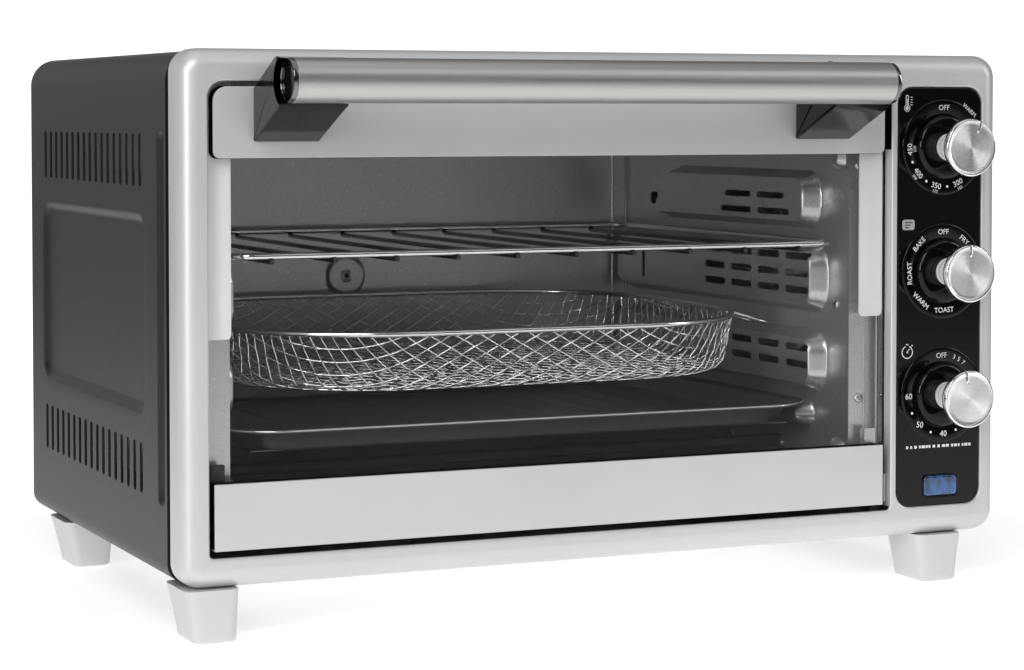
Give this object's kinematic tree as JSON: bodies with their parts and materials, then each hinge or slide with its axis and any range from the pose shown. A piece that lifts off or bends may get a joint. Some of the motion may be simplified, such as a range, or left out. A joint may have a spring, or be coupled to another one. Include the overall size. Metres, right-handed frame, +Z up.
{
  "type": "toaster oven",
  "caption": "Countertop toaster oven with drop-down glass door, bar handle, dial controls, wire rack, frying basket, baking pan and side convection fan.",
  "frame": {"origin": "centre of the bounding box at the underside of the feet", "axes": "+X towards the dials (long side), +Y from the door to the back, +Z up"},
  "size_m": [0.468, 0.352, 0.2885],
  "materials": {
    "satin_silver": "satin metallic silver",
    "charcoal_enamel": "satin dark charcoal",
    "galvanised_sheet": "galvanised sheet",
    "brushed_stainless": "brushed stainless",
    "spun_steel": "spun metal",
    "chrome_trim": "polished",
    "wire_steel": "bright wire",
    "pan_steel": "dark non-stick",
    "gloss_black": "gloss",
    "smoke_grey": "gloss",
    "foot_plastic": "satin",
    "door_pane": "clear",
    "lamp_glass": "clear",
    "blue_lens": "clear blue",
    "heater_sheath": "oxidised",
    "dark_plastic": "matte",
    "hinge_steel": "black",
    "bell_brass": "polished"
  },
  "bodies": {
    "oven": {"front_fascia": "satin_silver", "outer_wrap": "charcoal_enamel", "rear_panel": "charcoal_enamel", "base_plate": "galvanised_sheet", "cord_gland": "dark_plastic", "foot_front_left": "foot_plastic", "foot_rear_left": "foot_plastic", "foot_front_right": "foot_plastic", "foot_rear_right": "foot_plastic", "control_panel_plate": "gloss_black", "indicator_lens": "blue_lens", "indicator_lamp": "lamp_glass", "control_bracket": "galvanised_sheet", "thermostat_body": "dark_plastic", "function_switch_body": "dark_plastic", "timer_body": "galvanised_sheet", "timer_bell": "bell_brass", "hinge_pin_left": "wire_steel", "hinge_pin_right": "wire_steel", "hinge_spring_left": "wire_steel", "hinge_spring_right": "wire_steel", "cavity_front_frame": "galvanised_sheet", "cavity_right_wall": "galvanised_sheet", "cavity_left_wall": "galvanised_sheet", "cavity_ceiling": "galvanised_sheet", "cavity_floor": "galvanised_sheet", "cavity_back_wall": "galvanised_sheet", "upper_heater_front": "heater_sheath", "upper_heater_rear": "heater_sheath", "lower_heater_front": "heater_sheath", "lower_heater_rear": "heater_sheath", "side_baffle": "galvanised_sheet", "fan_motor": "dark_plastic"},
    "door": {"door_glass": "door_pane", "door_top_rail": "satin_silver", "door_bottom_rail": "satin_silver", "handle_bar": "brushed_stainless", "handle_end_cap_left": "chrome_trim", "handle_end_cap_right": "chrome_trim", "handle_bracket_left": "smoke_grey", "handle_bracket_right": "smoke_grey", "door_hinge_leaf_left": "hinge_steel", "door_hinge_leaf_right": "hinge_steel"},
    "temperature_knob": {"temperature_knob_cap": "spun_steel", "temperature_knob_ring": "gloss_black", "temperature_knob_stem": "spun_steel"},
    "function_knob": {"function_knob_cap": "spun_steel", "function_knob_ring": "gloss_black", "function_knob_stem": "spun_steel"},
    "timer_knob": {"timer_knob_cap": "spun_steel", "timer_knob_ring": "gloss_black", "timer_knob_stem": "spun_steel"},
    "rack": {"wire_rack": "wire_steel"},
    "basket": {"fry_basket": "wire_steel"},
    "pan": {"baking_pan": "pan_steel"},
    "tray": {"crumb_tray": "galvanised_sheet"},
    "fan": {"fan_impeller": "galvanised_sheet"}
  },
  "joints": [
    {"name": "door_hinge", "type": "hinge", "parent": "oven", "child": "door", "pos_m": [0, -0.1113, 0.0535], "axis": [1, 0, 0], "range_deg": [0, 85], "stiffness_Nm_per_rad": 0.5, "springref_deg": -34.38},
    {"name": "temperature_turn", "type": "hinge", "parent": "oven", "child": "temperature_knob", "pos_m": [0.198, -0.132, 0.2385], "axis": [0, 1, 0], "range_deg": [-25, 242]},
    {"name": "function_turn", "type": "hinge", "parent": "oven", "child": "function_knob", "pos_m": [0.198, -0.132, 0.1708], "axis": [0, 1, 0], "range_deg": [0, 314]},
    {"name": "timer_turn", "type": "hinge", "parent": "oven", "child": "timer_knob", "pos_m": [0.198, -0.132, 0.1032], "axis": [0, 1, 0], "range_deg": [0, 276]},
    {"name": "rack_slide", "type": "slide", "parent": "oven", "child": "rack", "axis": [0, -1, 0], "range_m": [0, 0.18]},
    {"name": "basket_slide", "type": "slide", "parent": "oven", "child": "basket", "axis": [0, -1, 0], "range_m": [0, 0.087]},
    {"name": "pan_slide", "type": "slide", "parent": "oven", "child": "pan", "axis": [0, -1, 0], "range_m": [0, 0.051]},
    {"name": "tray_slide", "type": "slide", "parent": "oven", "child": "tray", "axis": [0, -1, 0], "range_m": [0, 0.017]},
    {"name": "fan_spin", "type": "hinge", "parent": "oven", "child": "fan", "pos_m": [0.16, -0.012, 0.165], "axis": [1, 0, 0], "continuous": true}
  ],
  "couplings": [
    {"joint": "rack_slide", "follows": "door_hinge", "m_per_rad": 0.12},
    {"joint": "basket_slide", "follows": "door_hinge", "m_per_rad": 0.058},
    {"joint": "pan_slide", "follows": "door_hinge", "m_per_rad": 0.034},
    {"joint": "tray_slide", "follows": "door_hinge", "m_per_rad": 0.011}
  ]
}
